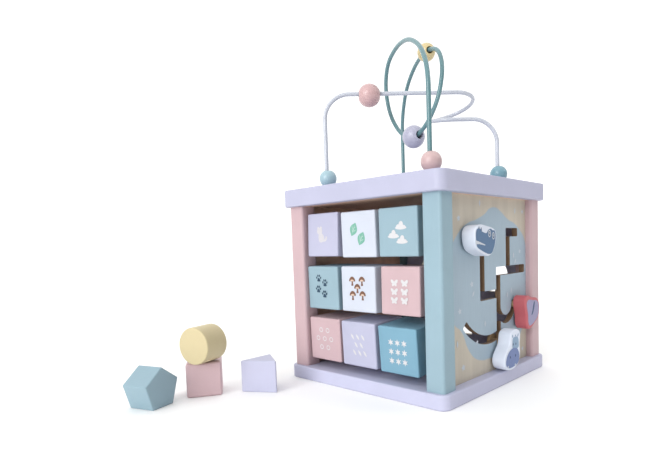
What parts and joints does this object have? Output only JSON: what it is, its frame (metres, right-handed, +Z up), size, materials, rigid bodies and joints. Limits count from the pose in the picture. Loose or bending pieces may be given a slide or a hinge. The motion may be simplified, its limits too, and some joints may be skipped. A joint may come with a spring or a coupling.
{
  "type": "shape sorter",
  "caption": "Wooden activity cube with bead wires on the lid, turning picture blocks, a slot maze, a shape-sorting panel and loose shape blocks.",
  "frame": {"origin": "centre of the base's flat underside", "axes": "+Z up; the turning blocks face -Y, the slot maze faces +X and the sorting holes face +Y"},
  "size_m": [0.2557, 0.3808, 0.3662],
  "materials": {
    "base": "satin",
    "deck": "satin",
    "post_front_left": "satin",
    "post_front_right": "satin",
    "post_back_left": "satin",
    "post_back_right": "satin",
    "deck_pins": "matt",
    "dowel_top": "satin",
    "dowel_middle": "satin",
    "dowel_bottom": "satin",
    "maze_panel": "printed, satin",
    "sorter_panel": "satin",
    "left_panel": "satin",
    "turning_cube_top_left": "satin",
    "turning_cube_top_centre": "satin",
    "turning_cube_top_right": "satin",
    "turning_cube_middle_left": "satin",
    "turning_cube_middle_centre": "satin",
    "turning_cube_middle_right": "satin",
    "turning_cube_bottom_left": "satin",
    "turning_cube_bottom_centre": "satin",
    "turning_cube_bottom_right": "satin",
    "ferrules_white": "gloss",
    "ferrules_green": "gloss",
    "bead_teal_front": "gloss",
    "bead_teal_back": "gloss",
    "bead_pink_foot": "gloss",
    "bead_pink_large": "gloss",
    "bead_lavender": "gloss",
    "bead_yellow": "gloss",
    "crocodile": "printed, satin",
    "hippo": "printed, satin",
    "bird": "printed, satin",
    "crocodile_peg": "matt",
    "hippo_peg": "matt",
    "bird_peg": "matt",
    "crocodile_disc": "matt",
    "hippo_disc": "matt",
    "bird_disc": "matt",
    "block_cube": "satin",
    "block_cylinder": "satin",
    "block_triangle": "satin",
    "block_pentagon": "satin",
    "wire_white": "gloss enamel",
    "wire_green": "gloss enamel",
    "base_screws": "zinc plated",
    "crocodile_screw": "zinc plated",
    "hippo_screw": "zinc plated",
    "bird_screw": "zinc plated"
  },
  "bodies": {
    "box": {"base": "base", "deck": "deck", "post_front_left": "post_front_left", "post_front_right": "post_front_right", "post_back_left": "post_back_left", "post_back_right": "post_back_right", "deck_pins": "deck_pins", "base_screws": "base_screws", "dowel_top": "dowel_top", "dowel_middle": "dowel_middle", "dowel_bottom": "dowel_bottom", "maze_panel": "maze_panel", "sorter_panel": "sorter_panel", "left_panel": "left_panel", "wire_white": "wire_white", "wire_green": "wire_green", "ferrules_white": "ferrules_white", "ferrules_green": "ferrules_green"},
    "turning_cube_top_left": {"turning_cube_top_left": "turning_cube_top_left"},
    "turning_cube_top_centre": {"turning_cube_top_centre": "turning_cube_top_centre"},
    "turning_cube_top_right": {"turning_cube_top_right": "turning_cube_top_right"},
    "turning_cube_middle_left": {"turning_cube_middle_left": "turning_cube_middle_left"},
    "turning_cube_middle_centre": {"turning_cube_middle_centre": "turning_cube_middle_centre"},
    "turning_cube_middle_right": {"turning_cube_middle_right": "turning_cube_middle_right"},
    "turning_cube_bottom_left": {"turning_cube_bottom_left": "turning_cube_bottom_left"},
    "turning_cube_bottom_centre": {"turning_cube_bottom_centre": "turning_cube_bottom_centre"},
    "turning_cube_bottom_right": {"turning_cube_bottom_right": "turning_cube_bottom_right"},
    "bead_teal_front": {"bead_teal_front": "bead_teal_front"},
    "bead_teal_back": {"bead_teal_back": "bead_teal_back"},
    "bead_pink_foot": {"bead_pink_foot": "bead_pink_foot"},
    "bead_pink_large": {"bead_pink_large": "bead_pink_large"},
    "bead_lavender": {"bead_lavender": "bead_lavender"},
    "bead_yellow": {"bead_yellow": "bead_yellow"},
    "crocodile_slider": {"crocodile_disc": "crocodile_disc"},
    "crocodile": {"crocodile": "crocodile", "crocodile_peg": "crocodile_peg", "crocodile_screw": "crocodile_screw"},
    "hippo_slider": {"hippo_disc": "hippo_disc"},
    "hippo": {"hippo": "hippo", "hippo_peg": "hippo_peg", "hippo_screw": "hippo_screw"},
    "bird_slider": {"bird_disc": "bird_disc"},
    "bird": {"bird": "bird", "bird_peg": "bird_peg", "bird_screw": "bird_screw"},
    "block_cube": {"block_cube": "block_cube"},
    "block_cylinder": {"block_cylinder": "block_cylinder"},
    "block_triangle": {"block_triangle": "block_triangle"},
    "block_pentagon": {"block_pentagon": "block_pentagon"}
  },
  "joints": [
    {"name": "turning_cube_top_left_turn", "type": "hinge", "parent": "box", "child": "turning_cube_top_left", "pos_m": [-0.0532, -0.0712, 0.1567], "axis": [1, 0, 0], "continuous": true},
    {"name": "turning_cube_top_centre_turn", "type": "hinge", "parent": "box", "child": "turning_cube_top_centre", "pos_m": [-0.0018, -0.0712, 0.1567], "axis": [1, 0, 0], "continuous": true},
    {"name": "turning_cube_top_right_turn", "type": "hinge", "parent": "box", "child": "turning_cube_top_right", "pos_m": [0.0482, -0.0712, 0.1567], "axis": [1, 0, 0], "continuous": true},
    {"name": "turning_cube_middle_left_turn", "type": "hinge", "parent": "box", "child": "turning_cube_middle_left", "pos_m": [-0.055, -0.0712, 0.1015], "axis": [1, 0, 0], "continuous": true},
    {"name": "turning_cube_middle_centre_turn", "type": "hinge", "parent": "box", "child": "turning_cube_middle_centre", "pos_m": [-0.0039, -0.0712, 0.1015], "axis": [1, 0, 0], "continuous": true},
    {"name": "turning_cube_middle_right_turn", "type": "hinge", "parent": "box", "child": "turning_cube_middle_right", "pos_m": [0.0492, -0.0712, 0.1015], "axis": [1, 0, 0], "continuous": true},
    {"name": "turning_cube_bottom_left_turn", "type": "hinge", "parent": "box", "child": "turning_cube_bottom_left", "pos_m": [-0.0544, -0.0712, 0.0463], "axis": [1, 0, 0], "continuous": true},
    {"name": "turning_cube_bottom_centre_turn", "type": "hinge", "parent": "box", "child": "turning_cube_bottom_centre", "pos_m": [-0.0056, -0.0712, 0.0463], "axis": [1, 0, 0], "continuous": true},
    {"name": "turning_cube_bottom_right_turn", "type": "hinge", "parent": "box", "child": "turning_cube_bottom_right", "pos_m": [0.0446, -0.0712, 0.0463], "axis": [1, 0, 0], "continuous": true},
    {"name": "bead_teal_front_slide", "type": "slide", "parent": "box", "child": "bead_teal_front", "axis": [0, 0, 1], "range_m": [0, 0.05]},
    {"name": "bead_teal_back_slide", "type": "slide", "parent": "box", "child": "bead_teal_back", "axis": [0, 0, 1], "range_m": [0, 0.022]},
    {"name": "bead_pink_foot_slide", "type": "slide", "parent": "box", "child": "bead_pink_foot", "axis": [0, 0, 1], "range_m": [0, 0.05]},
    {"name": "bead_pink_large_slide", "type": "slide", "parent": "box", "child": "bead_pink_large", "axis": [0.7071, 0.7071, 0], "range_m": [-0.009, 0.08]},
    {"name": "bead_lavender_slide", "type": "hinge", "parent": "box", "child": "bead_lavender", "pos_m": [0, 0, 0.29575], "axis": [0.3328, 0.943, 0], "range_deg": [-8, 8]},
    {"name": "bead_yellow_slide", "type": "hinge", "parent": "box", "child": "bead_yellow", "pos_m": [0.00749, 0.02535, 0.2954], "axis": [0.514, 0.8495, 0.1191], "range_deg": [-8, 8]},
    {"name": "crocodile_slot_travel", "type": "slide", "parent": "box", "child": "crocodile_slider", "axis": [0, 1, 0], "range_m": [0, 0.0222]},
    {"name": "crocodile_turn", "type": "hinge", "parent": "crocodile_slider", "child": "crocodile", "pos_m": [0.084, -0.04, 0.1475], "axis": [1, 0, 0], "continuous": true},
    {"name": "hippo_slot_travel", "type": "slide", "parent": "box", "child": "hippo_slider", "axis": [0, 0, 1], "range_m": [0, 0.07]},
    {"name": "hippo_turn", "type": "hinge", "parent": "hippo_slider", "child": "hippo", "pos_m": [0.084, 0.0145, 0.0405], "axis": [1, 0, 0], "range_deg": [-120, 0]},
    {"name": "bird_slot_travel", "type": "hinge", "parent": "box", "child": "bird_slider", "pos_m": [0.084, 0.031, 0.0802], "axis": [1, 0, 0], "range_deg": [-20, 0]},
    {"name": "bird_turn", "type": "hinge", "parent": "bird_slider", "child": "bird", "pos_m": [0.084, 0.04804, 0.0772], "axis": [1, 0, 0], "range_deg": [-45, 0]},
    {"name": "block_cube_lift", "type": "slide", "parent": "box", "child": "block_cube", "axis": [0, 0, 1], "range_m": [0, 0.06]},
    {"name": "block_cylinder_lift", "type": "slide", "parent": "block_cube", "child": "block_cylinder", "axis": [0, 0, 1], "range_m": [0, 0.06]},
    {"name": "block_triangle_lift", "type": "slide", "parent": "box", "child": "block_triangle", "axis": [0, 0, 1], "range_m": [0, 0.06]},
    {"name": "block_pentagon_lift", "type": "slide", "parent": "box", "child": "block_pentagon", "axis": [0, 0, 1], "range_m": [0, 0.06]}
  ]
}
